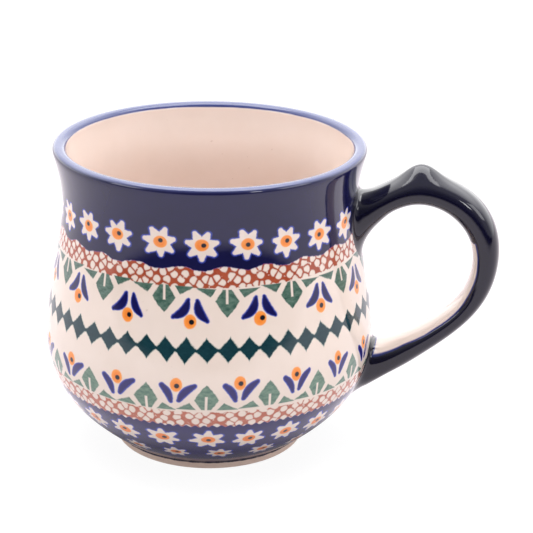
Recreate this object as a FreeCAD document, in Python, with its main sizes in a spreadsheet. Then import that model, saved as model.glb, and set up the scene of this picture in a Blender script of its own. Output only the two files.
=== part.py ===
# Round-bellied stoneware mug with a strap handle, millimetres.
#
# Frame: origin on the mug's axis in the plane of the foot ring, +Z up,
# the handle stands out along +X in the XZ plane.
#
# Solids: the jiggered cup (wall, floor and foot ring in one piece of clay),
# the cast strap handle with its thumb nub, and the two collars of luting
# slip that join the handle's feet to the wall.
import FreeCAD, Part
import os
import math
import Sketcher
from FreeCAD import Vector, Placement, Rotation

doc = FreeCAD.newDocument("StonewareMug")

# ---------------------------------------------------------------- dimensions
sheet = doc.addObject("Spreadsheet::Sheet", "Dims")
sheet.Label = "dimensions"
DIMS = []


def dim(alias, value):
    """One named cell. Everything below is driven from these."""
    row = len(DIMS) + 1
    DIMS.append(alias)
    sheet.set("A%d" % row, alias)
    sheet.set("B%d" % row, "%.4f" % value)
    sheet.setAlias("B%d" % row, alias)


# cup: heights and foot
dim("cup_height", 95.0)
dim("foot_outer_radius", 29.4)
dim("foot_edge_round", 0.5)
dim("foot_top_radius", 29.95)
dim("foot_top_height", 2.6)
dim("foot_inner_radius", 25.6)
dim("foot_inner_round", 0.6)
dim("recess_radius", 24.4)
dim("recess_height", 2.6)
dim("floor_height", 7.2)
dim("floor_flat_radius", 20.0)

# lip: a small round outside, a larger one inside
dim("lip_outer_round", 1.34)
dim("lip_outer_centre_radius", 45.93)
dim("lip_inner_round", 1.9)
dim("lip_inner_centre_radius", 45.1)

# control poles of the outer wall, foot to lip (radius, height)
OUTER = [
    (43.52, 12.68),
    (49.64, 24.67),
    (50.85, 32.91),
    (50.79, 38.40),
    (49.67, 46.54),
    (47.57, 58.61),
    (42.97, 81.04),
]
for i, (pr, pz) in enumerate(OUTER):
    dim("outer_pole%d_radius" % (i + 2), pr)
    dim("outer_pole%d_height" % (i + 2), pz)
dim("outer_lip_pole_height", 92.63)

# control poles of the inner wall, floor to lip
INNER = [
    (31.66, 8.96),
    (45.72, 23.75),
    (46.69, 38.97),
    (44.12, 53.10),
    (41.78, 67.69),
    (39.87, 81.05),
]
dim("inner_floor_pole_radius", 26.61)
for i, (pr, pz) in enumerate(INNER):
    dim("inner_pole%d_radius" % (i + 3), pr)
    dim("inner_pole%d_height" % (i + 3), pz)
dim("inner_lip_pole_height", 91.2)

# handle sections along the strap, upper foot to lower foot:
# reach from the axis, height, lean of the strap's run (degrees above +X),
# half thickness in the handle's plane, half width across it
SECTIONS = [
    (43.6, 73.0, 3.0, 9.0, 7.7),
    (48.5, 76.2, 15.0, 5.85, 6.95),
    (52.1, 78.8, 30.0, 4.4, 6.7),
    (56.2, 81.1, 24.5, 4.15, 6.5),
    (61.3, 82.75, 9.0, 4.2, 6.45),
    (66.5, 82.9, -6.0, 4.3, 6.45),
    (73.5, 80.7, -27.0, 4.45, 6.45),
    (79.6, 75.9, -49.5, 4.55, 6.45),
    (83.35, 69.2, -72.0, 4.3, 6.45),
    (84.3, 61.4, -91.5, 3.95, 6.45),
    (82.9, 53.7, -109.0, 3.65, 6.45),
    (79.4, 46.9, -125.0, 3.4, 6.45),
    (74.2, 41.25, -137.0, 3.45, 6.45),
    (68.2, 36.4, -143.5, 3.7, 6.5),
    (62.0, 32.2, -147.0, 4.25, 6.65),
    (56.6, 28.9, -152.0, 5.3, 7.0),
    (51.6, 26.7, -161.0, 7.2, 7.6),
    (42.2, 25.4, -179.0, 9.8, 8.5),
]
# slip collars, wall outwards: the same five figures for each ring
UPPER_RINGS = [
    (43.2, 72.6, 3.0, 12.7, 10.0),
    (46.6, 74.2, 8.0, 9.0, 8.5),
    (48.9, 76.1, 13.5, 6.6, 7.45),
    (52.1, 78.8, 30.0, 4.52, 6.82),
]
LOWER_RINGS = [
    (45.25, 25.0, -201.6, 13.45, 10.8),
    (48.9, 24.9, -192.0, 10.9, 9.3),
    (52.6, 26.5, -178.0, 8.2, 8.0),
    (55.4, 28.1, -163.0, 6.5, 7.5),
]


def section_dims(prefix, rows):
    for i, row in enumerate(rows):
        for part, value in zip(
                ("reach", "height", "lean", "half_thick", "half_width"), row):
            dim("%s%02d_%s" % (prefix, i, part), value)


section_dims("strap", SECTIONS)
section_dims("upper_slip", UPPER_RINGS)
section_dims("lower_slip", LOWER_RINGS)

# thumb nub on the top of the strap
dim("nub_reach", 63.9)
dim("nub_height", 87.9)
dim("nub_round", 3.1)
dim("nub_blend", 2.6)

doc.recompute()


def val(alias):
    return float(sheet.get(alias))


# ------------------------------------------------------------ sketch helpers
def origin_plane(body, role):
    for f in body.Origin.OriginFeatures:
        if f.Role == role:
            return f
    raise RuntimeError("no %s in %s" % (role, body.Label))


def sheet_sketch(body, name):
    """A sketch on the body's XZ plane: sketch x is the radius, y the height."""
    sk = body.newObject("Sketcher::SketchObject", name)
    sk.AttachmentSupport = [(origin_plane(body, "XZ_Plane"), "")]
    sk.MapMode = "FlatFace"
    return sk


def bind(sk, constraint, alias_or_expr, name):
    """Add a dimension, name it, and drive it from the sheet."""
    idx = sk.addConstraint(constraint)
    sk.renameConstraint(idx, name)
    sk.setExpression("Constraints." + name, alias_or_expr)
    return idx


def place_point(sk, geo, pos, x_expr, y_expr, x, y, name):
    """Pin a sketch point at sheet-driven coordinates."""
    if x_expr is None:
        sk.addConstraint(Sketcher.Constraint("PointOnObject", geo, pos, -2))
    else:
        bind(sk, Sketcher.Constraint("DistanceX", -1, 1, geo, pos, x), x_expr, name + "_x")
    if y_expr is None:
        sk.addConstraint(Sketcher.Constraint("PointOnObject", geo, pos, -1))
    else:
        bind(sk, Sketcher.Constraint("DistanceY", -1, 1, geo, pos, y), y_expr, name + "_y")


def wall_spline(sk, first, poles, last, near_last, tag, first_flat=None):
    """Cubic wall curve through sheet-driven control poles.

    first and last are the end points; poles are [(x_expr, y_expr, x, y)];
    near_last is the height expression of the pole under the lip, which sits
    straight below the last point so that the wall runs into the lip smoothly.
    """
    pts = [Vector(first[0], first[1], 0)]
    if first_flat:
        pts.append(Vector(first_flat[1], first[1], 0))
    pts += [Vector(p[2], p[3], 0) for p in poles]
    pts.append(Vector(last[0], near_last[1], 0))
    pts.append(Vector(last[0], last[1], 0))
    curve = Part.BSplineCurve()
    curve.buildFromPoles(pts, False, 3)
    g = sk.addGeometry(curve, False)
    before = sk.GeometryCount
    sk.exposeInternalGeometry(g)
    pole_geo = list(range(before, before + len(pts)))
    k = 1
    if first_flat:
        sk.addConstraint(Sketcher.Constraint("Horizontal", pole_geo[0], 3, pole_geo[1], 3))
        bind(sk, Sketcher.Constraint("DistanceX", -1, 1, pole_geo[1], 3, first_flat[1]),
             first_flat[0], tag + "_floor_pole_x")
        k = 2
    for j, (xe, ye, x, y) in enumerate(poles):
        place_point(sk, pole_geo[k + j], 3, xe, ye, x, y, "%s_pole%d" % (tag, k + j + 1))
    sk.addConstraint(Sketcher.Constraint("Vertical", pole_geo[-2], 3, pole_geo[-1], 3))
    bind(sk, Sketcher.Constraint("DistanceY", -1, 1, pole_geo[-2], 3, near_last[1]),
         near_last[0], tag + "_lip_pole_y")
    return g


def outer_poles():
    out = []
    for i in range(len(OUTER)):
        a = "outer_pole%d" % (i + 2)
        out.append(("Dims.%s_radius" % a, "Dims.%s_height" % a,
                    val(a + "_radius"), val(a + "_height")))
    return out


def inner_poles():
    out = []
    for i in range(len(INNER)):
        a = "inner_pole%d" % (i + 3)
        out.append(("Dims.%s_radius" % a, "Dims.%s_height" % a,
                    val(a + "_radius"), val(a + "_height")))
    return out


def line(sk, x0, y0, x1, y1):
    return sk.addGeometry(Part.LineSegment(Vector(x0, y0, 0), Vector(x1, y1, 0)), False)


def arc(sk, cx, cy, r, a0, a1):
    circle = Part.Circle(Vector(cx, cy, 0), Vector(0, 0, 1), r)
    return sk.addGeometry(
        Part.ArcOfCircle(circle, math.radians(a0), math.radians(a1)), False)


def meet(sk, g0, p0, g1, p1):
    sk.addConstraint(Sketcher.Constraint("Coincident", g0, p0, g1, p1))


# ----------------------------------------------------------------- the cup
def cup_outline(sk, hollow):
    """Closed half section. hollow=False gives the plain outer envelope."""
    H = val("cup_height")
    fo, fe = val("foot_outer_radius"), val("foot_edge_round")
    ftr, fth = val("foot_top_radius"), val("foot_top_height")
    lo, loc = val("lip_outer_round"), val("lip_outer_centre_radius")

    # foot ring, outside: edge round, then the nearly upright bare band
    edge = arc(sk, fo - fe, fe, fe, 270, 360)
    bind(sk, Sketcher.Constraint("Radius", edge, fe), "Dims.foot_edge_round", "foot_edge_r")
    place_point(sk, edge, 3, "Dims.foot_outer_radius - Dims.foot_edge_round",
                "Dims.foot_edge_round", fo - fe, fe, "foot_edge")
    sk.addConstraint(Sketcher.Constraint("Vertical", edge, 1, edge, 3))
    sk.addConstraint(Sketcher.Constraint("Horizontal", edge, 2, edge, 3))
    band = line(sk, fo, fe, ftr, fth)
    meet(sk, edge, 2, band, 1)

    # wall
    wall = wall_spline(
        sk, (ftr, fth), outer_poles(), (loc + lo, H - lo),
        ("Dims.outer_lip_pole_height", val("outer_lip_pole_height")), "outer")
    place_point(sk, band, 2, "Dims.foot_top_radius", "Dims.foot_top_height", ftr, fth, "foot_top")
    meet(sk, band, 2, wall, 1)

    # lip, outer round
    lip = arc(sk, loc, H - lo, lo, 0, 90)
    bind(sk, Sketcher.Constraint("Radius", lip, lo), "Dims.lip_outer_round", "lip_outer_r")
    place_point(sk, lip, 3, "Dims.lip_outer_centre_radius",
                "Dims.cup_height - Dims.lip_outer_round", loc, H - lo, "lip_outer")
    sk.addConstraint(Sketcher.Constraint("Horizontal", lip, 1, lip, 3))
    sk.addConstraint(Sketcher.Constraint("Vertical", lip, 2, lip, 3))
    meet(sk, wall, 2, lip, 1)

    if not hollow:
        top = line(sk, loc, H, 0, H)
        axis = line(sk, 0, H, 0, 0)
        base = line(sk, 0, 0, fo - fe, 0)
        meet(sk, lip, 2, top, 1)
        meet(sk, top, 2, axis, 1)
        meet(sk, axis, 2, base, 1)
        meet(sk, base, 2, edge, 1)
        sk.addConstraint(Sketcher.Constraint("PointOnObject", top, 2, -2))
        sk.addConstraint(Sketcher.Constraint("Horizontal", top))
        sk.addConstraint(Sketcher.Constraint("Coincident", axis, 2, -1, 1))
        return

    li, lic = val("lip_inner_round"), val("lip_inner_centre_radius")
    fh, fr = val("floor_height"), val("floor_flat_radius")
    rim = line(sk, loc, H, lic, H)
    meet(sk, lip, 2, rim, 1)
    lip_in = arc(sk, lic, H - li, li, 90, 180)
    bind(sk, Sketcher.Constraint("Radius", lip_in, li), "Dims.lip_inner_round", "lip_inner_r")
    place_point(sk, lip_in, 3, "Dims.lip_inner_centre_radius",
                "Dims.cup_height - Dims.lip_inner_round", lic, H - li, "lip_inner")
    sk.addConstraint(Sketcher.Constraint("Vertical", lip_in, 1, lip_in, 3))
    sk.addConstraint(Sketcher.Constraint("Horizontal", lip_in, 2, lip_in, 3))
    meet(sk, rim, 2, lip_in, 1)

    inner = wall_spline(
        sk, (fr, fh), inner_poles(), (lic - li, H - li),
        ("Dims.inner_lip_pole_height", val("inner_lip_pole_height")), "inner",
        first_flat=("Dims.inner_floor_pole_radius", val("inner_floor_pole_radius")))
    meet(sk, inner, 2, lip_in, 2)
    floor = line(sk, fr, fh, 0, fh)
    place_point(sk, floor, 1, "Dims.floor_flat_radius", "Dims.floor_height", fr, fh, "floor")
    meet(sk, floor, 1, inner, 1)
    sk.addConstraint(Sketcher.Constraint("Horizontal", floor))
    sk.addConstraint(Sketcher.Constraint("PointOnObject", floor, 2, -2))

    # underside: recess inside the foot ring
    rr, rh = val("recess_radius"), val("recess_height")
    fi, fir = val("foot_inner_radius"), val("foot_inner_round")
    axis = line(sk, 0, fh, 0, rh)
    meet(sk, floor, 2, axis, 1)
    under = line(sk, 0, rh, rr, rh)
    meet(sk, axis, 2, under, 1)
    sk.addConstraint(Sketcher.Constraint("Horizontal", under))
    sk.addConstraint(Sketcher.Constraint("PointOnObject", axis, 2, -2))
    place_point(sk, under, 2, "Dims.recess_radius", "Dims.recess_height", rr, rh, "recess")
    cove = line(sk, rr, rh, fi - fir, fir)
    meet(sk, under, 2, cove, 1)
    ring_in = arc(sk, fi, fir, fir, 180, 270)
    bind(sk, Sketcher.Constraint("Radius", ring_in, fir), "Dims.foot_inner_round", "foot_inner_r")
    place_point(sk, ring_in, 3, "Dims.foot_inner_radius", "Dims.foot_inner_round",
                fi, fir, "foot_inner")
    sk.addConstraint(Sketcher.Constraint("Horizontal", ring_in, 1, ring_in, 3))
    sk.addConstraint(Sketcher.Constraint("Vertical", ring_in, 2, ring_in, 3))
    meet(sk, cove, 2, ring_in, 1)
    base = line(sk, fi, 0, fo - fe, 0)
    meet(sk, ring_in, 2, base, 1)
    meet(sk, base, 2, edge, 1)


def turned_body(name, label, hollow):
    body = doc.addObject("PartDesign::Body", name)
    body.Label = label
    sk = sheet_sketch(body, name + "Profile")
    cup_outline(sk, hollow)
    doc.recompute()
    rev = body.newObject("PartDesign::Revolution", name + "Turned")
    rev.Profile = (sk, [""])
    rev.ReferenceAxis = (sk, ["V_Axis"])
    rev.Angle = 360.0
    sk.Visibility = False
    doc.recompute()
    return body


cup = turned_body("CupBody", "cup_body", True)
envelope = turned_body("CupEnvelope", "cup envelope for trimming", False)
cup.Placement = Placement(Vector(0, 0, 0), Rotation())
envelope.Placement = Placement(Vector(0, 0, 0), Rotation())


# ------------------------------------------------------------- strap handle
def oval(name, cells):
    """Elliptical section square to the strap's run, driven by five cells.

    Local x runs across the strap and local y square to its run in the
    handle's plane. A section taller than it is wide is turned a quarter, and
    its seam is turned back, so that every seam lies on the -Y side.
    """
    thick, width = "Dims." + cells + "_half_thick", "Dims." + cells + "_half_width"
    tall = val(cells + "_half_thick") > val(cells + "_half_width")
    e = doc.addObject("Part::Ellipse", name)
    e.setExpression("MajorRadius", thick if tall else width)
    e.setExpression("MinorRadius", width if tall else thick)
    e.Angle1 = 90 if tall else 180
    e.Angle2 = 90 if tall else 180
    t = math.radians(val(cells + "_lean"))
    run = Vector(math.cos(t), 0, math.sin(t))
    across = Vector(0, 1, 0)
    normal = Vector(-math.sin(t), 0, math.cos(t))
    x, y = (normal, across * -1) if tall else (across, normal)
    e.Placement = Placement(FreeCAD.Matrix(
        x.x, y.x, run.x, 0, x.y, y.y, run.y, 0, x.z, y.z, run.z, 0, 0, 0, 0, 1))
    e.setExpression("Placement.Base.x", "Dims." + cells + "_reach")
    e.setExpression("Placement.Base.z", "Dims." + cells + "_height")
    e.Visibility = False
    return e


ovals = [oval("StrapOval%02d" % i, "strap%02d" % i) for i in range(len(SECTIONS))]
doc.recompute()

strap = doc.addObject("Part::Loft", "StrapLoft")
strap.Sections = ovals
strap.Solid = True
strap.Ruled = False
strap.Closed = False

nub = doc.addObject("Part::Sphere", "NubBall")
nub.setExpression("Radius", "Dims.nub_round")
nub.setExpression("Placement.Base.x", "Dims.nub_reach")
nub.setExpression("Placement.Base.z", "Dims.nub_height")
doc.recompute()

strap_nub = doc.addObject("Part::Fuse", "StrapWithNub")
strap_nub.Base = strap
strap_nub.Tool = nub
strap_nub.Refine = False
doc.recompute()

# the round the ball makes with the strap is eased into a smooth rise
seam = [k + 1 for k, e in enumerate(strap_nub.Shape.Edges)
        if e.BoundBox.XLength < 9 and e.BoundBox.YLength > 2.0
        and abs(e.BoundBox.Center.x - val("nub_reach")) < 1.5
        and e.BoundBox.ZMin > val("nub_height") - 3.0
        and e.BoundBox.ZMax < val("nub_height") + 2.0]
blend = doc.addObject("Part::Fillet", "NubBlend")
blend.Base = strap_nub
blend.Edges = [(k, val("nub_blend"), val("nub_blend")) for k in seam]
doc.recompute()

handle = doc.addObject("Part::Cut", "Handle")
handle.Base = blend
handle.Tool = envelope
handle.Refine = False
handle.Label = "handle"
doc.recompute()


# --------------------------------------------------------------- slip collars
def collar(name, label, cells, count):
    """Concave collar of slip round a handle foot, trimmed to wall and strap."""
    rings = [oval("%sRing%d" % (name, i), "%s%02d" % (cells, i)) for i in range(count)]
    doc.recompute()
    loft = doc.addObject("Part::Loft", name + "Loft")
    loft.Sections = rings
    loft.Solid = True
    loft.Ruled = False
    loft.Closed = False
    doc.recompute()
    off_wall = doc.addObject("Part::Cut", name + "OffWall")
    off_wall.Base = loft
    off_wall.Tool = envelope
    off_wall.Refine = False
    doc.recompute()
    ring = doc.addObject("Part::Cut", name)
    ring.Base = off_wall
    ring.Tool = blend
    ring.Refine = False
    ring.Label = label
    doc.recompute()
    return ring


upper_slip = collar("UpperSlip", "upper_luting_slip", "upper_slip", len(UPPER_RINGS))
lower_slip = collar("LowerSlip", "lower_luting_slip", "lower_slip", len(LOWER_RINGS))

# -------------------------------------------------------------------- checks
doc.recompute()
for obj in doc.Objects:
    bad = [s for s in obj.State if s in ("Invalid", "Error")]
    if bad:
        raise RuntimeError("%s (%s) is %s" % (obj.Name, obj.Label, bad))

NODES = {
    "cup_body": cup,
    "handle": handle,
    "upper_luting_slip": upper_slip,
    "lower_luting_slip": lower_slip,
}
os.makedirs("parts", exist_ok=True)
for node, obj in NODES.items():
    shape = obj.Shape
    if shape.isNull() or not shape.isValid():
        raise RuntimeError(node + " has no valid shape")
    bb = shape.BoundBox
    print("%-20s solids %d  volume %.1f mm3  x %.2f..%.2f  y %.2f..%.2f  z %.2f..%.2f" % (
        node, len(shape.Solids), shape.Volume, bb.XMin, bb.XMax, bb.YMin, bb.YMax,
        bb.ZMin, bb.ZMax))
    if len(shape.Solids) != 1:
        raise RuntimeError(node + " isn't one solid")
    if shape.ShapeType == "Compound":
        shape = shape.Solids[0]
    shape.exportStep("parts/%s.step" % node)
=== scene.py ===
import bpy
import math
import numpy as np
from mathutils import Matrix, Vector


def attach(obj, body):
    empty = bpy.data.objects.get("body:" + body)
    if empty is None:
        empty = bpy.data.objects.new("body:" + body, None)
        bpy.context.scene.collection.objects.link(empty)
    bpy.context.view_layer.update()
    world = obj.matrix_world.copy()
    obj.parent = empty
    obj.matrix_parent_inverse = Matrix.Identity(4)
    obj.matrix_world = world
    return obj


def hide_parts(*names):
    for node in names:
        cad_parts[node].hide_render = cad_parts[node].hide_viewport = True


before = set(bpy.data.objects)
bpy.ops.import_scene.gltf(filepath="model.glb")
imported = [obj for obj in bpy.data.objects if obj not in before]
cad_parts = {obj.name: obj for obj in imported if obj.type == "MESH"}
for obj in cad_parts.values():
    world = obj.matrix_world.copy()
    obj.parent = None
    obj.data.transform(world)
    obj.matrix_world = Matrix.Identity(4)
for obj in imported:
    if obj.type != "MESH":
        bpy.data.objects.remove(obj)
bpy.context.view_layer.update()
MM = 0.001

# ------------------------------------------------------------------ profile
# The turned section, in millimetres: control poles of the outer and inner wall.
H = 95.0
OUTER = [(29.95, 2.6), (43.52, 12.68), (49.64, 24.67), (50.85, 32.91), (50.79, 38.4),
         (49.67, 46.54), (47.57, 58.61), (42.97, 81.04), (47.27, 92.63), (47.27, 93.66)]
INNER = [(20.0, 7.2), (26.61, 7.2), (31.66, 8.96), (45.72, 23.75), (46.69, 38.97),
         (44.12, 53.1), (41.78, 67.69), (39.87, 81.05), (43.2, 91.2), (43.2, 93.1)]


def spline(poles, count):
    """Points on a clamped uniform cubic B-spline."""
    p = np.array(poles, float)
    n = len(p)
    inner = np.linspace(0, 1, n - 2)[1:-1]
    kn = np.concatenate([[0] * 4, inner, [1] * 4])
    out = []
    for t in np.linspace(0, 1, count):
        t = min(t, 1 - 1e-9)
        k = int(np.searchsorted(kn, t, side="right")) - 1
        d = [p[j + k - 3].copy() for j in range(4)]
        for r in range(1, 4):
            for j in range(3, r - 1, -1):
                den = kn[j + 1 + k - r] - kn[j + k - 3]
                a = (t - kn[j + k - 3]) / den
                d[j] = (1 - a) * d[j - 1] + a * d[j]
        out.append(d[3])
    return np.array(out)


def even(points, count):
    """Resample a polyline at equal steps."""
    p = np.asarray(points, float)
    s = np.concatenate([[0], np.cumsum(np.linalg.norm(np.diff(p, axis=0), axis=1))])
    g = np.linspace(0, s[-1], count)
    return np.stack([np.interp(g, s, p[:, 0]), np.interp(g, s, p[:, 1])], 1)


def arc(cx, cy, r, a0, a1, n):
    a = np.radians(np.linspace(a0, a1, n))
    return np.stack([cx + r * np.cos(a), cy + r * np.sin(a)], 1)


OUT_FINE = spline(OUTER, 1200)
OUT_S = np.concatenate([[0], np.cumsum(np.linalg.norm(np.diff(OUT_FINE, axis=0), axis=1))])
FOOT_S = 2.62         # length of wall below the spline, up the foot band


def wall_radius(z):
    return np.interp(z, OUT_FINE[:, 1], OUT_FINE[:, 0])


def wall_s(z):
    """Length up the outside of the wall from the table, at height z."""
    return FOOT_S + np.interp(z, OUT_FINE[:, 1], OUT_S)


# the handle stands at this bearing in the decoration's own angle (degrees,
# zero at the middle of the photographed side, growing to the right)
HANDLE_AT = 84.0

# ------------------------------------------------------------ cup mesh
SEG = 360
outer = even(OUT_FINE, 118)
lip_o = arc(45.93, 93.66, 1.34, 0, 90, 9)[1:]
lip_i = arc(45.1, 93.1, 1.9, 90, 180, 10)
inner = even(spline(INNER, 800), 62)[::-1][1:]
floor_in = np.stack([np.linspace(20.0, 1.2, 9)[1:], np.full(8, 7.2)], 1)
foot_o = np.vstack([arc(28.9, 0.5, 0.5, 270, 360, 6), even([(29.4, 0.5), (29.95, 2.6)], 5)[1:-1]])
under = np.vstack([
    np.stack([np.linspace(1.2, 24.0, 9), np.full(9, 2.6)], 1),
    arc(24.0, 2.0, 0.6, 90, 20, 5)[1:],
    even([(24.75, 1.75), (25.05, 0.75)], 4),
    arc(25.6, 0.6, 0.6, 190, 270, 6),
    even([(25.9, 0.0), (28.6, 0.0)], 4)])
# from the middle of the underside, out, up the outside, over the lip and in
PROFILE = np.vstack([under, foot_o, outer, lip_o, lip_i, inner, floor_in])
keep = [0]
for i in range(1, len(PROFILE)):
    if np.linalg.norm(PROFILE[i] - PROFILE[keep[-1]]) > 0.03:
        keep.append(i)
PROFILE = PROFILE[keep]
N_PROF = len(PROFILE)
prof_len = np.concatenate([[0], np.cumsum(np.linalg.norm(np.diff(PROFILE, axis=0), axis=1))])
# s is zero where the foot meets the table and runs up the outside
start = int(np.argmin(np.abs(PROFILE[:, 0] - 28.9) + np.abs(PROFILE[:, 1]) * 3))
S_PROF = prof_len - prof_len[start]
i_wall = int(np.argmin(np.linalg.norm(PROFILE - outer[0], axis=1)))
S_PROF += FOOT_S - S_PROF[i_wall]

theta = np.linspace(-180.0, 180.0, SEG + 1)      # decoration angle, degrees


def row_map(centres, count):
    """Monotone map from decoration angle to cell number.

    centres are the measured middles of some neighbouring cells; the rest of
    the row is shared out evenly. Cell k's middle is at k + 0.5.
    """
    c = list(centres)
    step = (c[0] + 360.0 - c[-1]) / (count - len(c) + 1)
    full = c + [c[-1] + step * (k + 1) for k in range(count - len(c))]
    full = np.array(full)
    ext = np.concatenate([full - 360.0, full, full + 360.0])
    val = np.concatenate([np.arange(count) - count, np.arange(count),
                          np.arange(count) + count]) + 0.5
    return lambda a: np.interp(a, ext, val)


def drift_map(centres, offsets):
    """Smooth drift of a row up and down the wall, zero round the back."""
    a = np.concatenate([[-180.0, centres[0] - 25], centres, [centres[-1] + 25, 180.0]])
    v = np.concatenate([[0.0, 0.0], offsets, [0.0, 0.0]])
    return lambda t: np.interp(t, a, v)


ROWS = {
    "daisy_up": (22, [-65.2, -49.5, -34.0, -16.3, -1.07, 15.7, 30.8, 46.7, 64.0],
        [0.08, 0.75, 0.91, 1.00, 0.44, 0.68, -0.11, -0.31, -0.94]),
    "leaf_up": (15, [-62.1, -38.8, -14.3, 8.0, 32.3, 57.4],
        [-0.43, 0.48, 0.77, -0.26, 0.05, -0.82]),
    "tulip_up": (15, [-51.8, -27.4, -4.82, 19.4, 44.3, 68.2],
        [0.18, -0.38, -0.18, 0.12, 0.03, -0.58]),
    "diamond": (50, [-49.1, -41.4, -34.1, -26.9, -19.5, -12.7, -6.1, 1.00, 8.5, 15.2, 22.2, 29.6, 36.3, 43.5, 51.1, 58.5],
        [-0.17, -0.11, -0.16, -0.14, 0.10, -0.10, -0.17, 0.00, 0.06, 0.12, 0.28, 0.36, 0.13, 0.14, 0.36, 0.17]),
    "tulip_low": (18, [-52.0, -30.1, -9.0, 11.9, 31.7, 50.4, 68.4],
        [0.36, 0.43, 0.79, 1.37, 1.67, 2.34, 1.55]),
    "leaf_low": (18, [-42.4, -19.2, 0.70, 22.1, 40.4, 58.9],
        [0.61, 0.43, 1.00, 1.27, 0.90, 0.97]),
    "daisy_low": (24, [-45.8, -31.4, -15.7, 1.39, 16.6, 31.4],
        [0.82, 0.49, 0.36, 0.49, -0.10, 0.82]),
    "daisy_foot": (19, [-13.0, 6.3, 25.7],
        [0.64, 0.76, 0.77]),
}


def build_cup():
    verts, faces = [], []
    ang = np.radians(theta[:-1] - HANDLE_AT)       # +X is through the handle
    ca, sa = np.cos(ang), np.sin(ang)
    for r, z in PROFILE:
        verts.append(np.stack([r * ca, r * sa, np.full(SEG, z)], 1))
    verts = np.vstack(verts)
    n0 = len(verts)
    verts = np.vstack([verts, [[0, 0, PROFILE[0, 1]], [0, 0, PROFILE[-1, 1]]]])
    quads, cs, ct = [], [], []
    for i in range(N_PROF - 1):
        for j in range(SEG):
            k = (j + 1) % SEG
            quads.append((i * SEG + j, i * SEG + k, (i + 1) * SEG + k, (i + 1) * SEG + j))
            cs.append((S_PROF[i], S_PROF[i], S_PROF[i + 1], S_PROF[i + 1]))
            ct.append((theta[j], theta[j + 1], theta[j + 1], theta[j]))
    tris, ts, tt = [], [], []
    last = (N_PROF - 1) * SEG
    for j in range(SEG):
        k = (j + 1) % SEG
        tris.append((n0, k, j))
        ts.append((S_PROF[0] - PROFILE[0, 0], S_PROF[0], S_PROF[0]))
        tt.append((theta[j], theta[j + 1], theta[j]))
        tris.append((n0 + 1, last + j, last + k))
        e = S_PROF[-1]
        ts.append((e + PROFILE[-1, 0], e, e))
        tt.append((theta[j], theta[j], theta[j + 1]))
    me = bpy.data.meshes.new("mug_body")
    me.from_pydata((verts * MM).tolist(), [], quads + tris)
    me.update()
    cs = np.concatenate([np.array(cs).ravel(), np.array(ts).ravel()])
    ct = np.concatenate([np.array(ct).ravel(), np.array(tt).ravel()])

    def put(name, values):
        at = me.attributes.new(name, "FLOAT", "CORNER")
        at.data.foreach_set("value", np.asarray(values, np.float32))

    put("wall_s", cs)
    put("wall_th", ct)
    for name, (count, centres, offs) in ROWS.items():
        put("u_" + name, row_map(centres, count)(ct))
        put("v_" + name, cs - drift_map(centres, offs)(ct))
    me.polygons.foreach_set("use_smooth", [True] * len(me.polygons))
    ob = bpy.data.objects.new("mug_body", me)
    bpy.context.scene.collection.objects.link(ob)
    return ob


# --------------------------------------------------------- handle mesh
# reach, height, lean of the run, half thickness, half width (mm, degrees)
STRAP = np.array([
    (43.6, 73.0, 3.0, 9.0, 7.7), (48.5, 76.2, 15.0, 5.85, 6.95),
    (52.1, 78.8, 30.0, 4.4, 6.7), (56.2, 81.1, 24.5, 4.15, 6.5),
    (61.3, 82.75, 9.0, 4.2, 6.45), (66.5, 82.9, -6.0, 4.3, 6.45),
    (73.5, 80.7, -27.0, 4.45, 6.45), (79.6, 75.9, -49.5, 4.55, 6.45),
    (83.35, 69.2, -72.0, 4.3, 6.45), (84.3, 61.4, -91.5, 3.95, 6.45),
    (82.9, 53.7, -109.0, 3.65, 6.45), (79.4, 46.9, -125.0, 3.4, 6.45),
    (74.2, 41.25, -137.0, 3.45, 6.45), (68.2, 36.4, -143.5, 3.7, 6.5),
    (62.0, 32.2, -147.0, 4.25, 6.65), (56.6, 28.9, -152.0, 5.3, 7.0),
    (51.6, 26.7, -161.0, 7.2, 7.6), (42.2, 25.4, -179.0, 9.8, 8.5)])
_d = np.concatenate([[0], np.cumsum(np.hypot(*np.diff(STRAP[:, :2], axis=0).T))])
STRAP_T = _d / _d[-1]
STRAP_LEN = _d[-1]


def natural_cubic(x, y):
    """Natural cubic spline through (x, y)."""
    n = len(x)
    h = np.diff(x)
    A = np.eye(n)
    b = np.zeros(n)
    for i in range(1, n - 1):
        A[i, i - 1], A[i, i], A[i, i + 1] = h[i - 1], 2 * (h[i - 1] + h[i]), h[i]
        b[i] = 6 * ((y[i + 1] - y[i]) / h[i] - (y[i] - y[i - 1]) / h[i - 1])
    m = np.linalg.solve(A, b)

    def f(t):
        t = np.asarray(t, float)
        i = np.clip(np.searchsorted(x, t, side="right") - 1, 0, n - 2)
        dx, hi = t - x[i], h[i]
        return (y[i] + dx * ((y[i + 1] - y[i]) / hi - hi * (2 * m[i] + m[i + 1]) / 6)
                + dx ** 2 * m[i] / 2 + dx ** 3 * (m[i + 1] - m[i]) / (6 * hi))
    return f


STRAP_F = [natural_cubic(STRAP_T, STRAP[:, k]) for k in range(5)]
SQUARE = 2.35         # how square the strap's section is: 2 is an ellipse


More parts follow.
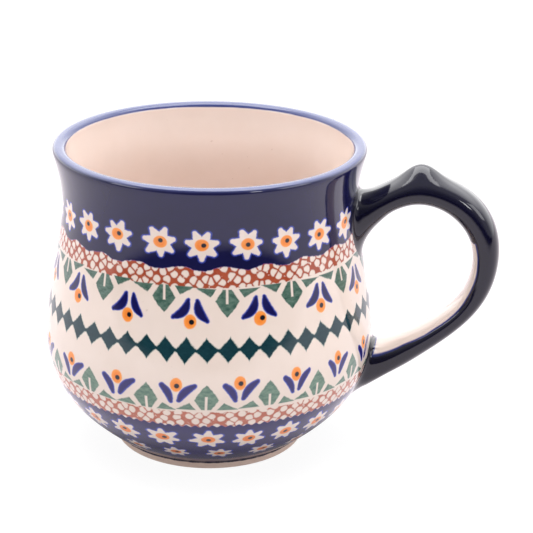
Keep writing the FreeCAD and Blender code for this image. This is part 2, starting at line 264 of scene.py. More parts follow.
def strap_point(t, psi):
    """Strap surface. psi 0 is the outside of the loop, 180 degrees the inside."""
    r, z, lean, b, w = (f(t) for f in STRAP_F)
    a = np.radians(lean)
    nx, nz = -np.sin(a), np.cos(a)
    c, s = np.cos(psi), np.sin(psi)
    e = 2.0 / SQUARE
    fc = np.sign(c) * np.abs(c) ** e
    fs = np.sign(s) * np.abs(s) ** e
    # thumb nub on the outside of the upper arm
    along = (t - NUB_T) * STRAP_LEN
    rho = np.sqrt((along / 1.15) ** 2 + (w * fs) ** 2)
    lift = np.where(c > 0, 3.6 * np.exp(-(rho / 4.0) ** 1.95), 0.0)
    # a thumb's hollow under the lower root
    dent = np.where((c > 0) & (t > 0.5), 2.0 * np.exp(-((r - 52.0) / 5.4) ** 2) * c ** 2, 0.0)
    off = b * fc + lift - dent
    return np.stack([r + off * nx, w * fs + 0 * r, z + off * nz], -1)


NUB_T = 0.0
_tt = np.linspace(0, 1, 4001)
NUB_T = float(_tt[np.argmin(np.abs(STRAP_F[0](_tt) - 63.9) + 100 * (_tt > 0.4))])


def build_handle():
    NP, NS, NF = 88, 190, 12
    psi = np.linspace(0, 2 * np.pi, NP + 1)[:-1]
    rings = [None] * (NS + 2 * NF)
    fine = np.linspace(0, 1, 3001)
    ends = []
    for foot in (0, 1):
        # where each generator of the strap enters the wall
        tstar = np.zeros(NP)
        for k, ps in enumerate(psi):
            seg = fine[(fine < 0.25)] if foot == 0 else fine[(fine > 0.75)][::-1]
            P = strap_point(seg, np.full(len(seg), ps))
            f = np.hypot(P[:, 0], P[:, 1]) - wall_radius(P[:, 2])
            j = int(np.argmax(f > 0))
            t0, t1, f0, f1 = seg[j - 1], seg[j], f[j - 1], f[j]
            tstar[k] = t0 + (t1 - t0) * (-f0) / (f1 - f0)
        ends.append(tstar)
    # how far the slip is smeared out on the strap and on the wall
    down = 0.5 - 0.5 * np.cos(psi)                 # 1 on the inside of the loop
    side = np.abs(np.sin(psi))
    upper_a = 2.6 + 3.2 * down ** 3
    upper_w = 2.6 + 3.2 * down ** 5
    up2 = 0.5 + 0.5 * np.cos(psi)                  # 1 on the outside of the loop
    lower_a = 1.8 + 2.4 * up2 ** 3
    lower_w = 2.2 + 6.8 * up2 ** 5
    tA = ends[0] + upper_a / STRAP_LEN
    tB = ends[1] - lower_a / STRAP_LEN
    for i in range(NS):
        x = i / (NS - 1)
        t = tA + (tB - tA) * x
        rings[NF + i] = strap_point(t, psi)
    for foot in (0, 1):
        P0 = strap_point(ends[foot], psi)
        A = rings[NF] if foot == 0 else rings[NF + NS - 1]
        reach = upper_w if foot == 0 else lower_w
        nxt, prv = np.roll(P0, -1, 0), np.roll(P0, 1, 0)
        tan = nxt - prv
        rad = np.hypot(P0[:, 0], P0[:, 1])
        slope = (wall_radius(P0[:, 2] + 0.2) - wall_radius(P0[:, 2] - 0.2)) / 0.4
        nrm = np.stack([P0[:, 0] / rad, P0[:, 1] / rad, -slope], 1)
        nrm /= np.linalg.norm(nrm, axis=1)[:, None]
        out = np.cross(tan, nrm)
        out /= np.linalg.norm(out, axis=1)[:, None]
        mid = P0.mean(0)
        sign = np.sign(((P0 - mid) * out).sum(1))
        out *= sign[:, None]
        B = P0 + out * reach[:, None]
        rB = np.hypot(B[:, 0], B[:, 1])
        want = wall_radius(B[:, 2]) - 0.04
        B[:, 0] *= want / rB
        B[:, 1] *= want / rB
        for i in range(NF):
            x = i / NF                                # 0 at the wall, 1 at the strap
            q = (1 - x) ** 2 * B.T + 2 * x * (1 - x) * P0.T + x ** 2 * A.T
            rings[i if foot == 0 else 2 * NF + NS - 1 - i] = q.T
    G = np.array(rings)
    rows = len(G)
    verts = list(map(tuple, G.reshape(-1, 3)))
    faces = []
    for i in range(rows - 1):
        for k in range(NP):
            m = (k + 1) % NP
            faces.append((i * NP + m, i * NP + k, (i + 1) * NP + k, (i + 1) * NP + m))
    for row, flip in ((0, True), (rows - 1, False)):
        c = G[row].mean(0)
        rr = math.hypot(c[0], c[1])
        target = float(wall_radius(c[2])) - 2.2
        verts.append((c[0] * target / rr, c[1] * target / rr, c[2]))
        ci = len(verts) - 1
        for k in range(NP):
            m = (k + 1) % NP
            a, b = row * NP + k, row * NP + m
            faces.append((ci, a, b) if flip else (ci, b, a))
    me = bpy.data.meshes.new("mug_handle")
    me.from_pydata([tuple(c * MM for c in v) for v in verts], [], faces)
    me.update()
    # along the strap (0 to 1), round it, and how far from either wall (mm)
    T = np.zeros((rows, NP))
    for i in range(NS):
        T[NF + i] = tA + (tB - tA) * (i / (NS - 1))
    for i in range(NF):
        T[i] = ends[0] + (tA - ends[0]) * (i / NF) ** 2
        T[2 * NF + NS - 1 - i] = ends[1] + (tB - ends[1]) * (i / NF) ** 2
    wd = np.zeros((rows, NP))
    rad = np.hypot(G[:, :, 0], G[:, :, 1])
    wd[:] = rad - wall_radius(G[:, :, 2])
    inner = np.repeat((-np.cos(psi))[None], rows, 0)
    across = np.repeat((np.sign(np.sin(psi)) * np.abs(np.sin(psi)) ** (2 / SQUARE))[None], rows, 0)
    pad = np.zeros(2)

    def put(name, arr, ends_val=0.0):
        at = me.attributes.new(name, "FLOAT", "POINT")
        at.data.foreach_set("value", np.concatenate(
            [arr.ravel(), [ends_val, ends_val]]).astype(np.float32))

    put("strap_t", T)
    put("strap_in", inner)
    put("strap_y", across)
    put("wall_gap", wd, -2.0)
    me.polygons.foreach_set("use_smooth", [True] * len(me.polygons))
    ob = bpy.data.objects.new("mug_handle", me)
    bpy.context.scene.collection.objects.link(ob)
    return ob


# ------------------------------------------------------------- node helpers
class Net:
    """Small expression builder over a material's nodes."""

    def __init__(self, tree):
        self.t = tree
        self.n = 0

    def node(self, kind):
        nd = self.t.nodes.new(kind)
        nd.location = (-240 * (self.n % 24), -180 * (self.n // 24))
        self.n += 1
        return nd

    def math(self, op, *args, clamp=False):
        nd = self.node("ShaderNodeMath")
        nd.operation = op
        nd.use_clamp = clamp
        for i, a in enumerate(args):
            self.feed(nd.inputs[i], a)
        return F(self, nd.outputs[0])

    def feed(self, sock, a):
        if isinstance(a, F):
            self.t.links.new(a.s, sock)
        elif isinstance(a, C):
            self.t.links.new(a.s, sock)
        elif isinstance(a, (tuple, list)):
            sock.default_value = tuple(a) + ((1.0,) if len(a) == 3 and sock.type == "RGBA" else ())
        else:
            sock.default_value = float(a)

    def attr(self, name):
        nd = self.node("ShaderNodeAttribute")
        nd.attribute_type = "GEOMETRY"
        nd.attribute_name = name
        return F(self, nd.outputs["Fac"])

    def vec(self, x, y, z=0.0):
        nd = self.node("ShaderNodeCombineXYZ")
        for s, a in zip(nd.inputs, (x, y, z)):
            self.feed(s, a)
        return C(self, nd.outputs[0])

    def noise(self, vec, scale, detail=2.0, rough=0.5, w=None):
        nd = self.node("ShaderNodeTexNoise")
        nd.noise_dimensions = "3D"
        self.feed(nd.inputs["Vector"], vec)
        nd.inputs["Scale"].default_value = scale
        nd.inputs["Detail"].default_value = detail
        nd.inputs["Roughness"].default_value = rough
        return F(self, nd.outputs[0])

    def rnd(self, cell, seed):
        nd = self.node("ShaderNodeTexWhiteNoise")
        nd.noise_dimensions = "1D"
        self.feed(nd.inputs["W"], cell + seed)
        sp = self.node("ShaderNodeSeparateColor")
        self.t.links.new(nd.outputs["Color"], sp.inputs[0])
        return [F(self, o) for o in sp.outputs[:3]]

    def mix(self, a, b, fac):
        nd = self.node("ShaderNodeMix")
        nd.data_type = "RGBA"
        nd.clamp_factor = True
        self.feed(nd.inputs[0], fac)
        self.feed(nd.inputs[6], a)
        self.feed(nd.inputs[7], b)
        return C(self, nd.outputs[2])

    def scale_rgb(self, col, f):
        nd = self.node("ShaderNodeMix")
        nd.data_type = "RGBA"
        nd.blend_type = "MULTIPLY"
        nd.inputs[0].default_value = 1.0
        self.feed(nd.inputs[6], col)
        cb = self.node("ShaderNodeCombineColor")
        for i in range(3):
            self.feed(cb.inputs[i], f)
        self.t.links.new(cb.outputs[0], nd.inputs[7])
        return C(self, nd.outputs[2])


class C:
    def __init__(self, net, s):
        self.net, self.s = net, s


class F:
    """A float in a node tree."""

    def __init__(self, net, s):
        self.net, self.s = net, s

    def __add__(self, o): return self.net.math("ADD", self, o)
    __radd__ = __add__
    def __sub__(self, o): return self.net.math("SUBTRACT", self, o)
    def __rsub__(self, o): return self.net.math("SUBTRACT", o, self)
    def __mul__(self, o): return self.net.math("MULTIPLY", self, o)
    __rmul__ = __mul__
    def __truediv__(self, o): return self.net.math("DIVIDE", self, o)
    def __rtruediv__(self, o): return self.net.math("DIVIDE", o, self)
    def __pow__(self, o): return self.net.math("POWER", self, o)
    def __neg__(self): return self.net.math("MULTIPLY", self, -1.0)
    def abs(self): return self.net.math("ABSOLUTE", self)
    def sqrt(self): return self.net.math("SQRT", self)
    def sin(self): return self.net.math("SINE", self)
    def cos(self): return self.net.math("COSINE", self)
    def floor(self): return self.net.math("FLOOR", self)
    def fract(self): return self.net.math("FRACT", self)
    def min(self, o): return self.net.math("MINIMUM", self, o)
    def max(self, o): return self.net.math("MAXIMUM", self, o)
    def clamp(self): return self.net.math("ADD", self, 0.0, clamp=True)
    def less(self, o): return self.net.math("LESS_THAN", self, o)
    def more(self, o): return self.net.math("GREATER_THAN", self, o)


def hyp(x, y):
    return (x * x + y * y).sqrt()


def cover(d, soft=0.16):
    """1 inside, 0 outside, over a soft edge (mm)."""
    return d.net.math("MULTIPLY_ADD", d, -1.0 / soft, 0.5, clamp=True)


def srgb(r, g, b):
    def f(c):
        c /= 255.0
        return c / 12.92 if c <= 0.04045 else ((c + 0.055) / 1.055) ** 2.4
    return (f(r), f(g), f(b))


def cell(net, row, radius, s0, seed, turn=0.16):
    """Local millimetres in a repeated motif, and three random numbers."""
    count = ROWS[row][0]
    u = net.attr("u_" + row)
    k = u.floor()
    width = 2 * math.pi * radius / count
    x = (u - k - 0.5) * width
    y = net.attr("v_" + row) - s0
    r = net.rnd(k, seed)
    spin = (r[2] - 0.5) * turn
    return x - y * spin, y + x * spin, r, width, k


def brush(x, y, p0, p1, bow, end0, mid, end1):
    """Distance to one round-ended brush mark from p0 to p1.

    bow is how far its middle is bent to the left of the way from p0 to p1;
    the other three are half widths at its start, middle and end.
    """
    p0, p1 = Vector(p0), Vector(p1)
    chord = p1 - p0
    L = chord.length
    cd = chord / L
    left = Vector((-cd.y, cd.x))
    h = abs(bow)
    R = L * L / (8 * h) + h / 2
    sgn = 1.0 if bow > 0 else -1.0
    centre = (p0 + p1) / 2 - left * sgn * (R - h)
    half = math.asin(min(1.0, L / 2 / R))
    mx, my = left.x * sgn, left.y * sgn
    qx, qy = x - centre.x, y - centre.y
    along = qx * mx + qy * my
    perp = (qy * mx - qx * my).abs()
    outside = (perp * math.cos(half)).more(along * math.sin(half))
    d_end = hyp(perp - math.sin(half) * R, along - math.cos(half) * R)
    d_arc = (hyp(perp, along) - R).abs()
    d = d_arc + (d_end - d_arc) * outside
    u = ((x - (p0.x + p1.x) / 2) * cd.x + (y - (p0.y + p1.y) / 2) * cd.y) * (2.0 / L)
    u = u.max(-1.0).min(1.0)
    bend = (end1 + end0) / 2 - mid
    thick = u * ((end1 - end0) / 2) + u * u * bend + mid
    return d - thick


def daisy(net, col, row, radius, s0, seed, size, point_up, cream, orange, dark, fringe, squash=0.93):
    x, y, r, width, k = cell(net, row, radius, s0, seed)
    y = y / squash
    g = size / 5.0
    x, y = x / g, y / g
    rad = hyp(x, y)
    ang = net.math("ARCTAN2", x, y if point_up else -y)
    turn_no = ang * (7.0 / (2 * math.pi)) + 7.5
    petal = turn_no.floor()
    fold = (turn_no - petal - 0.5) * (2 * math.pi / 7.0)
    px, py = (rad * fold.sin()).abs(), rad * fold.cos()
    pr = net.rnd(petal - (petal / 7.0).floor() * 7.0 + k * 9.0, seed + 3.0)
    tip = py - (pr[0] - 0.5) * 0.62
    lean = (pr[1] - 0.5) * 0.16
    over = (tip - 4.25).max(0.0)
    lobe = (hyp(px, over) - (4.25 - tip).max(0.0) * (0.41 + lean) - 0.72) * 0.93
    n = (net.noise(net.vec(x, y, k), 1.6, 2.0) - 0.5) * 0.30
    d = lobe.min(rad - 2.95) * g + n
    col = net.mix(col, fringe, cover(d - 0.36, 0.50))
    col = net.mix(col, cream, cover(d, 0.30))
    ox = x + (r[0] - 0.5) * 0.5
    oy = y + (r[1] - 0.5) * 0.5
    d_o = hyp(ox, oy * 1.08) - 2.05
    tone = net.noise(net.vec(x, y, k), 0.55, 2.0)
    col = net.mix(col, orange[0], cover(d_o, 0.34))
    col = net.mix(col, orange[1], cover(d_o + 0.5, 0.9) * tone)
    dx = x + (r[1] - 0.5) * 0.9 - 0.15
    dy = y + (r[2] - 0.5) * 0.7 - 0.12
    col = net.mix(col, dark, cover(hyp(dx, dy) - 0.72, 0.26))
    return col


def leaf_row(net, col, row, radius, s0, seed, up, green, length, half, cream_like=None):
    """Spade leaf with a bare vein, and half leaflets along the border."""
    x, y, r, width, k = cell(net, row, radius, s0, seed, turn=0.10)
    t = y if up else -y
    ax = x.abs()
    n = (net.noise(net.vec(x, y, k), 0.9, 3.0) - 0.5) * 0.5
    w1 = t * 0.64 + 1.25
    w2 = (length - t) * (half / (length - 3.6)) + ((length - t) * (t - 3.6)).max(0.0) * 0.05
    d = ((ax - w1.min(w2)) * 0.76 + n).max(-t + 0.12)
    vein = ((x - t * 0.05 * (r[1] - 0.5)).abs() - 0.36).max(t - 4.25 - (r[0] - 0.5) * 0.8)
    d = d.max(-vein)
    # half leaflets either side, hanging on the border
    inner, outer_, rise, fall = (3.25, width / 2 + 0.15, 1.5, 0.52) if not up else (2.9, width / 2 + 0.3, 1.25, 0.56)
    e = t - ((ax - inner) * rise).min((outer_ - ax) * fall).min(2.5)
    e = (e * 0.75 + n).max(-t + 0.1)
    d = d.min(e)
    shade = net.noise(net.vec(x * 0.5, y, k), 1.1, 3.0, 0.6)
    g = net.mix(green[0], green[1], ((shade - 0.5) * 1.9 + 0.45).clamp())
    return net.mix(col, g, cover(d, 0.30))


def tulip_row(net, col, row, radius, s0, seed, up, navy, fringe, orange, dark):
    x, y, r, width, k = cell(net, row, radius, s0, seed, turn=0.14)
    wide = 0.92 + r[0] * 0.16
    sx = x / wide
    if not up:
        ox, oy = x / 1.86, y / 2.15
        d = brush(sx, y, (-1.0, 6.3), (-5.1, 0.75), 1.10, 0.60, 1.46, 0.66).min(
            brush(sx, y, (1.5, 6.3), (4.7, 0.45), -0.80, 0.60, 1.40, 0.64))
        dot = hyp(x - 0.45 + (r[1] - 0.5) * 0.5, y - 0.12 + (r[2] - 0.5) * 0.4) - 0.76
    else:
        ox, oy = x / 1.72, y / 2.15
        d = brush(sx, y, (-4.0, -0.3), (-1.5, -5.3), 0.50, 0.88, 1.18, 0.64).min(
            brush(sx, y, (5.1, -0.2), (0.75, -4.9), -0.60, 0.76, 1.28, 0.74))
        dot = hyp(x - 0.2 + (r[1] - 0.5) * 0.5, y + 0.3 + (r[2] - 0.5) * 0.5) - 0.74
    n = (net.noise(net.vec(x, y, k), 1.3, 2.0) - 0.5) * 0.22
    d_o = (hyp(ox, oy) - 1.0) * 1.9 + n
    tone = net.noise(net.vec(x, y, k + 7.0), 0.7, 2.0)
    col = net.mix(col, orange[0], cover(d_o, 0.34))
    col = net.mix(col, orange[1], cover(d_o + 0.6, 0.9) * tone)
    d = d + n
    col = net.mix(col, fringe, cover(d, 0.34))
    col = net.mix(col, navy, cover(d + 0.30, 0.5))
    return net.mix(col, dark, cover(dot, 0.26))


def net_band(net, col, s, xmm, lo, hi, rust, cream, seed, thin):
    """Sponge-stamped net: rust lines round pale drops."""
    warp = (net.noise(net.vec(xmm, s, seed), 0.35, 1.0) - 0.5) * 1.0
    across, up = xmm + seed * 13.0, s - lo + warp
    spot = net.vec(across * 0.77 - up * 0.64, across * 0.64 + up * 0.77, 0.0)
    vals = []
    for feature in ("F1", "DISTANCE_TO_EDGE"):
        nd = net.node("ShaderNodeTexVoronoi")
        nd.voronoi_dimensions = "2D"
        nd.feature = feature
        net.feed(nd.inputs["Vector"], spot)
        nd.inputs["Scale"].default_value = 1.0 / 2.55
        nd.inputs["Randomness"].default_value = 0.52
        vals.append(F(net, nd.outputs["Distance"]) * 2.55)
    line = net.noise(net.vec(xmm, s, seed + 3.0), 0.5, 2.0)
    size = (line - 0.5) * 0.55
    blob = (vals[0] - 1.10 - size * 0.5).max((thin - size * 0.6 - vals[1]) * 0.9)
    edge = ((s - (lo + hi) / 2).abs() - (hi - lo) / 2) + (
        net.noise(net.vec(xmm, s * 0.3, seed + 9.0), 0.9, 2.0) - 0.5) * 0.9
    ink = cover(-blob, 0.34) * cover(edge, 0.3)
    tone = net.noise(net.vec(xmm, s, seed + 5.0), 0.45, 3.0, 0.6)
    r = net.mix(rust[0], rust[1], tone)
    gap = net.noise(net.vec(xmm, s, seed + 21.0), 0.6, 2.0)
    return net.mix(col, r, ink * (cover(0.33 - gap, 0.10)))


def glaze(net, bsdf, base, rough=0.07, peel=0.012, bare=None, grain=None):
    """Clear glaze over the decoration: a glossy coat with a faint ripple."""
    t = net.t
    net.feed(bsdf.inputs["Base Color"], base)
    bsdf.inputs["IOR"].default_value = 1.5
    bsdf.inputs["Specular IOR Level"].default_value = 0.5
    bsdf.inputs["Coat Weight"].default_value = 0.0
    co = net.node("ShaderNodeTexCoord")
    pos = C(net, co.outputs["Object"])
    ripple = net.noise(pos, 260.0, 2.0, 0.5)
    fine = net.noise(pos, 1500.0, 1.0, 0.5)
    h = ripple + fine * 0.12
    if bare is not None:
        h = h + grain * bare * 1.6
    bump = net.node("ShaderNodeBump")
    bump.inputs["Strength"].default_value = 0.35
    bump.inputs["Distance"].default_value = peel * MM * 6
    net.feed(bump.inputs["Height"], h)
    t.links.new(bump.outputs[0], bsdf.inputs["Normal"])
    rn = net.noise(pos, 90.0, 2.0)
    r = rn * 0.05 + (rough - 0.02)
    if bare is not None:
        r = r + (0.80 - r) * bare
    net.feed(bsdf.inputs["Roughness"], r)
    return pos


NAVY = srgb(22, 21, 78)
NAVY_DEEP = srgb(18, 19, 50)
FRINGE = srgb(60, 76, 176)
CREAM = srgb(232, 217, 206)
ORANGE = (srgb(240, 150, 72), srgb(232, 110, 32))
DARK = srgb(22, 26, 34)
GREEN = (srgb(48, 80, 70), srgb(102, 126, 114))
TEAL = (srgb(9, 38, 48), srgb(34, 72, 80))
RUST = (srgb(142, 50, 30), srgb(178, 92, 66))
STONE = srgb(176, 150, 134)


def body_material():
    m = bpy.data.materials.new("decorated_glaze")
    m.use_nodes = True
    t = m.node_tree
    bsdf = t.nodes["Principled BSDF"]
    net = Net(t)
    s = net.attr("wall_s")
    th = net.attr("wall_th")
    co = net.node("ShaderNodeTexCoord")
    pos = C(net, co.outputs["Object"])

    # cream body seen through clear glaze: faint mottling and iron specks
    mott = net.noise(pos, 60.0, 3.0, 0.55)
    cream = net.mix(srgb(231, 215, 207), srgb(221, 202, 191), mott)
    speck = net.noise(pos, 900.0, 1.0, 0.4)
    cream = net.mix(cream, srgb(150, 110, 84), cover(0.80 - speck, 0.05) * 0.25)
    cream_flat = cream
    col = cream

    xm = th * (math.pi / 180.0 * 47.0)
    # a point on a circle, so that edges meet themselves round the back
    way = th * (math.pi / 180.0)
    ring_x, ring_y = way.cos() * 47.0, way.sin() * 47.0
    # painted bands ------------------------------------------------------
    col = net_band(net, col, s, xm, 73.75, 80.4, RUST, CREAM, 1.0, 0.28)
    col = net_band(net, col, s, xm, 30.0, 36.5, (srgb(158, 72, 52), srgb(196, 124, 104)), CREAM, 4.0, 0.19)
    col = leaf_row(net, col, "leaf_up", 46.9, 73.6, 11.0, False, GREEN, 8.1, 3.55)
    col = leaf_row(net, col, "leaf_low", 50.3, 36.2, 17.0, True, (srgb(74, 104, 92), srgb(124, 148, 132)), 8.2, 3.3)
    col = tulip_row(net, col, "tulip_up", 47.8, 64.15, 23.0, False, NAVY, FRINGE, ORANGE, DARK)
    col = tulip_row(net, col, "tulip_low", 50.7, 44.3, 29.0, True, srgb(40, 36, 100), FRINGE, ORANGE, DARK)

    # diamond chain
    x, y, r, width, k = cell(net, "diamond", 49.4, 55.6, 37.0, turn=0.06)
    tall = 3.3 + r[0] * 0.75
    n = (net.noise(net.vec(x, y, k), 1.1, 2.0) - 0.5) * 0.55
    skew = x + y * (r[1] - 0.5) * 0.22
    ax, ay = skew.abs() / (width * 0.53), y.abs() / tall
    d = (ax + ay - 1.0 + ax * ay * 0.28) * 2.2 + n
    neck = y.abs() - 0.44 - n * 0.4
    d = d.min(neck)
    tone = net.noise(net.vec(x * 0.6, y, k), 0.9, 3.0, 0.6)
    teal = net.mix(TEAL[0], TEAL[1], tone * 0.8)
    col = net.mix(col, srgb(60, 120, 116), cover(d - 0.16, 0.36) * 0.7)
    col = net.mix(col, teal, cover(d, 0.26))

    # cobalt bands: neck and rim above, foot below ---------------------------
    ud = net.attr("u_daisy_up")
    wave = (ud * (2 * math.pi)).cos() * 0.62
    edge_n = (net.noise(net.vec(ring_x, ring_y, 2.0), 0.32, 3.0, 0.6) - 0.5) * 1.5
    d_up = (79.25 + wave + edge_n) - s
    low_n = (net.noise(net.vec(ring_x, ring_y, 6.0), 0.42, 3.0, 0.6) - 0.5) * 0.9
    bump = (way * 120.0).cos() * 0.34
    d_low = s - (30.95 + low_n + bump)
    # where the band ends over the lip, a little way down the inside
    lip_end = 107.3 + (net.noise(net.vec(ring_x, ring_y, 8.0), 0.06, 2.0) - 0.5) * 0.5
    d_up = d_up.max(s - lip_end)
    # bare stoneware foot
    foot_n = (net.noise(net.vec(ring_x, ring_y, 12.0), 0.25, 3.0, 0.6) - 0.5) * 0.7
    foot_edge = 2.15 + foot_n
    d_band = d_up.min(d_low.max(-2.0 + 0 * s))
    depth = net.noise(pos, 45.0, 3.0, 0.55)
    navy = net.mix(NAVY_DEEP, srgb(27, 26, 74), depth)
    low_navy = net.mix(srgb(26, 23, 72), srgb(38, 34, 96), depth)
    navy = net.mix(navy, low_navy, cover(s - 45.0, 5.0))
    # thin on the lip, where glaze runs off the edge
    rim = cover((s - 105.3).abs() - 2.2, 0.9)
    navy = net.mix(navy, srgb(50, 60, 116), rim * 0.85)
    col = net.mix(col, FRINGE, cover(d_band - 0.10, 0.36) * 0.6)
    col = net.mix(col, navy, cover(d_band, 0.26))

    col = daisy(net, col, "daisy_up", 44.8, 85.55, 41.0, 5.05, False, cream_flat, ORANGE, DARK, FRINGE)
    col = daisy(net, col, "daisy_low", 45.7, 24.1, 43.0, 4.85, True, cream_flat, (srgb(236, 140, 70), srgb(226, 100, 36)), DARK, FRINGE)
    col = daisy(net, col, "daisy_foot", 39.0, 13.6, 47.0, 4.1, True, cream_flat, (srgb(226, 134, 78), srgb(214, 100, 44)), DARK, FRINGE)

    # unglazed clay of the foot and of the foot's underside, rough and dry
    grain = net.noise(pos, 1400.0, 3.0, 0.7)
    big = net.noise(pos, 120.0, 2.0)
    stone = net.mix(srgb(222, 192, 178), srgb(238, 216, 204), grain)
    stone = net.mix(stone, srgb(200, 166, 150), big * 0.4)
    bare = cover(s - foot_edge, 0.3)
    # painted shade: the cobalt is darkened to deep navy from the foot's edge to about 2 mm above it, standing in for
    # the shade in the cove over the foot ring
    col = net.mix(col, NAVY_DEEP, cover(s - foot_edge - 1.6, 1.4) * 0.9)
    col = net.mix(col, stone, bare)
    glaze(net, bsdf, col, bare=bare, grain=grain)
    print("body nodes", len(t.nodes))
    return m


def handle_material():
    m = bpy.data.materials.new("cobalt_handle_glaze")
    m.use_nodes = True
    t = m.node_tree
    bsdf = t.nodes["Principled BSDF"]
    net = Net(t)
    co = net.node("ShaderNodeTexCoord")
    pos = C(net, co.outputs["Object"])
    st = net.attr("strap_t")
    si = net.attr("strap_in")
    sy = net.attr("strap_y")
    gap = net.attr("wall_gap")
    depth = net.noise(pos, 45.0, 3.0, 0.55)
    navy = net.mix(srgb(12, 11, 25), srgb(19, 18, 42), depth)
    mott = net.noise(pos, 60.0, 3.0, 0.55)
    cream = net.mix(srgb(231, 215, 207), srgb(221, 202, 191), mott)
    # the painter left the inside of the lower loop bare of colour
    wav = (net.noise(pos, 70.0, 2.0) - 0.5) * 0.16
    d_y = (sy.abs() - 0.84 + wav) * 6.5
    d_in = (0.12 - si) * 6.0
    d_t = (0.395 - sy * 0.026 - st) * 150.0 + wav * 20.0
    d_e = (1.6 - gap) * 1.0 + wav * 3.0
    d = d_y.max(d_in).max(d_t).max(d_e)
    col = net.mix(navy, srgb(50, 66, 150), cover(d - 0.28, 0.5) * 0.75)
    col = net.mix(col, cream, cover(d, 0.3))
    glaze(net, bsdf, col)
    return m


body = build_cup()
handle = build_handle()
body.data.materials.append(body_material())
handle.data.materials.append(handle_material())
for ob, slot, nodes in ((body, "glazed_stoneware", ("cup_body",)),
                        (handle, "cobalt_stoneware",
                         ("handle", "upper_luting_slip", "lower_luting_slip"))):
    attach(ob, "root")
    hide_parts(*nodes)

# ------------------------------------------------------------------ stage
floor_me = bpy.data.meshes.new("floor")
L = 3.0
floor_me.from_pydata([(-L, -L, 0), (L, -L, 0), (L, L, 0), (-L, L, 0)], [], [(0, 1, 2, 3)])
floor = bpy.data.objects.new("floor", floor_me)
bpy.context.scene.collection.objects.link(floor)
fm = bpy.data.materials.new("pale_floor")
fm.use_nodes = True
fb = fm.node_tree.nodes["Principled BSDF"]
fb.inputs["Base Color"].default_value = (0.12, 0.12, 0.12, 1)
fb.inputs["Roughness"].default_value = 0.9
fb.inputs["Specular IOR Level"].default_value = 0.1
fb.inputs["Emission Color"].default_value = (1, 1, 1, 1)
fb.inputs["Emission Strength"].default_value = 0.90
floor_me.materials.append(fm)
for ray in ("glossy", "diffuse", "shadow"):
    setattr(floor, "visible_" + ray, False)

# the light the table throws back up at the mug
bounce_me = bpy.data.meshes.new("table_bounce")
bounce_me.from_pydata([(-L, -L, -0.0003), (L, -L, -0.0003), (L, L, -0.0003), (-L, L, -0.0003)],
                      [], [(0, 1, 2, 3)])
bounce = bpy.data.objects.new("table_bounce", bounce_me)
bpy.context.scene.collection.objects.link(bounce)
bounce.visible_camera = False
bounce.visible_glossy = False
bm = bpy.data.materials.new("table_bounce")
bm.use_nodes = True
bb = bm.node_tree.nodes["Principled BSDF"]
bb.inputs["Base Color"].default_value = (0.52, 0.52, 0.52, 1)
bb.inputs["Roughness"].default_value = 0.9
bounce_me.materials.append(bm)

# what the glaze mirrors of the table: white to a hand's breadth or two in front of the mug, dark beyond it,
# and dimmed close round the mug's foot as a painted shadow
table_me = bpy.data.meshes.new("table_glow")
table_me.from_pydata([(-L, -L, -0.0006), (L, -L, -0.0006), (L, L, -0.0006), (-L, L, -0.0006)],
                     [], [(0, 1, 2, 3)])
table = bpy.data.objects.new("table_glow", table_me)
bpy.context.scene.collection.objects.link(table)
for ray in ("camera", "diffuse", "transmission", "volume_scatter", "shadow"):
    setattr(table, "visible_" + ray, False)
tm = bpy.data.materials.new("table_glow")
tm.use_nodes = True
tt = tm.node_tree
tt.nodes.clear()
tn = Net(tt)
tc = tn.node("ShaderNodeTexCoord")
td = tn.node("ShaderNodeVectorMath")
td.operation = "DOT_PRODUCT"
tt.links.new(tc.outputs["Object"], td.inputs[0])
td.inputs[1].default_value = (math.sin(math.radians(6.0)), -math.cos(math.radians(6.0)), 0.0)
tfade = tn.math("MULTIPLY_ADD", F(tn, td.outputs["Value"]), -1.0 / 0.12, 0.34 / 0.12, clamp=True)
tl = tn.node("ShaderNodeValue")
tl.name = "table_level"
tl.outputs[0].default_value = 1.40
tr = tn.node("ShaderNodeVectorMath")
tr.operation = "LENGTH"
tt.links.new(tc.outputs["Object"], tr.inputs[0])
# painted shadow: the mirrored table dims to 15% within 34 mm of the mug's axis and comes back to full by 52 mm,
# standing in for the shade under the mug
painted_mug_shadow = tn.math("MULTIPLY_ADD", F(tn, tr.outputs["Value"]), 1.0 / 0.018, -0.034 / 0.018, clamp=True)
te = tn.node("ShaderNodeEmission")
te.inputs["Color"].default_value = (1.0, 0.93, 0.98, 1)
tn.feed(te.inputs["Strength"], tfade * (painted_mug_shadow * 0.85 + 0.15) * F(tn, tl.outputs[0]))
to = tn.node("ShaderNodeOutputMaterial")
tt.links.new(te.outputs[0], to.inputs["Surface"])
table_me.materials.append(tm)

# a white tent behind and to both sides, a dark room in front above the table
world = bpy.data.worlds.new("studio")
bpy.context.scene.world = world
world.use_nodes = True
wt = world.node_tree
wn = Net(wt)
BACK = (-math.sin(math.radians(6.0)), math.cos(math.radians(6.0)), 0.0)
wc = wn.node("ShaderNodeTexCoord")
dp = wn.node("ShaderNodeVectorMath")
dp.operation = "DOT_PRODUCT"
wt.links.new(wc.outputs["Generated"], dp.inputs[0])
dp.inputs[1].default_value = BACK
toback = F(wn, dp.outputs["Value"])
ramp = wn.math("MULTIPLY_ADD", toback, 1.0 / 0.7, 0.25 / 0.7, clamp=True)
ramp = ramp * ramp * (3.0 - ramp * 2.0)
back = wn.node("ShaderNodeValue")
back.name = "back_level"
back.outputs[0].default_value = 1.25
base = wn.node("ShaderNodeValue")
base.name = "base_level"
base.outputs[0].default_value = 0.66
sz = wn.node("ShaderNodeSeparateXYZ")
wt.links.new(wc.outputs["Generated"], sz.inputs[0])
low = wn.math("MULTIPLY_ADD", F(wn, sz.outputs[2]), -1.0 / 0.30, 0.85 / 0.30, clamp=True)
lp = wn.node("ShaderNodeLightPath")
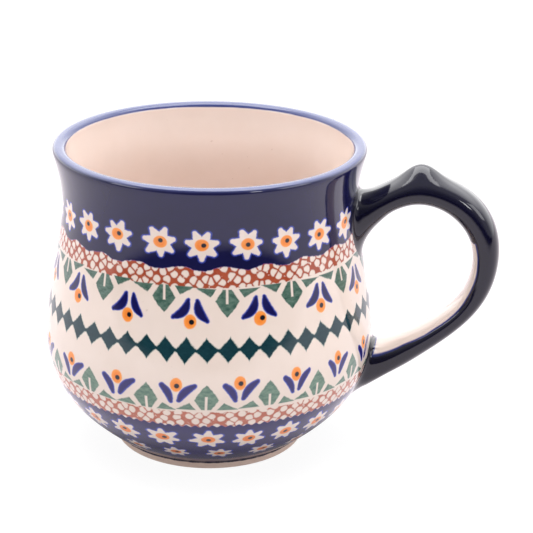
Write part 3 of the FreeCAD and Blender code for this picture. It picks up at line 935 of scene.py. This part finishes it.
# the room in front is dim where the glaze mirrors it
dim = wn.math("MULTIPLY_ADD", toback, 1.0 / 0.35, 0.97 / 0.35, clamp=True)
dim = 1.0 - (1.0 - dim) * F(wn, lp.outputs["Is Glossy Ray"]) * 0.86
level = ramp * low * F(wn, back.outputs[0]) + F(wn, base.outputs[0]) * dim
tent = wn.math("MULTIPLY_ADD", toback, 1.0 / 0.5, 0.30 / 0.5, clamp=True)
above = wn.math("MULTIPLY_ADD", F(wn, sz.outputs[2]), 1.0 / 0.25, -0.40 / 0.25, clamp=True)
above = above * wn.math("MULTIPLY_ADD", toback, 1.0 / 0.30, 0.30 / 0.30, clamp=True)
level = level + (tent * 0.75 + above * 2.2) * F(wn, lp.outputs["Is Glossy Ray"])
seen = F(wn, lp.outputs["Is Camera Ray"])
level = level + (1.0 - level) * seen
bg = wt.nodes["Background"]
bg.inputs["Color"].default_value = (1, 1, 1, 1)
wn.feed(bg.inputs["Strength"], level)


def area(name, loc, target, size, size_y, power, color=(1, 1, 1)):
    ld = bpy.data.lights.new(name, "AREA")
    ld.shape = "RECTANGLE"
    ld.size, ld.size_y = size, size_y
    ld.energy = power
    ld.color = color
    ob = bpy.data.objects.new(name, ld)
    ob.location = loc
    d = Vector(target) - Vector(loc)
    ob.rotation_euler = d.to_track_quat("-Z", "Y").to_euler()
    bpy.context.scene.collection.objects.link(ob)
    ob.visible_camera = False
    return ob


def softbox(name, azimuth, elevation, dist, w, h, radiance, color=(1, 1, 1)):
    """Azimuth in degrees from the camera's side of the mug, growing to its right."""
    a = math.radians(azimuth - 90.0 + 6.0)
    e = math.radians(elevation)
    loc = (dist * math.cos(e) * math.cos(a), dist * math.cos(e) * math.sin(a),
           0.06 + dist * math.sin(e))
    return area(name, loc, (0, 0, 0.06), w, h, radiance * math.pi * w * h, color)


softbox("box_left", -62.0, 27.0, 1.1, 0.42, 0.40, 3.6)
softbox("box_right", 66.0, 27.0, 1.1, 0.42, 0.40, 3.6)
softbox("strip_right", 35.0, 25.0, 1.1, 0.13, 0.20, 11.5)
softbox("box_over", 170.0, 84.0, 1.0, 1.05, 0.8, 5.0)

# ----------------------------------------------------------------- camera
YAW = math.radians(90.0 - HANDLE_AT)
PITCH, ROLL = math.radians(20.700), math.radians(0.797)
cam_data = bpy.data.cameras.new("camera")
cam_data.sensor_width = 36.0
cam_data.lens = 119.1
cam_data.clip_start = 0.01
cam = bpy.data.objects.new("camera", cam_data)
bpy.context.scene.collection.objects.link(cam)
place = Matrix.Rotation(YAW, 4, "Z") @ Matrix.Translation(Vector((17.49, -510.05, 247.77)) * MM)
aim = Matrix.Rotation(math.pi / 2 - PITCH, 4, "X") @ Matrix.Rotation(ROLL, 4, "Z")
cam.matrix_world = place @ aim
bpy.context.scene.camera = cam
bpy.context.scene.view_settings.view_transform = "Standard"
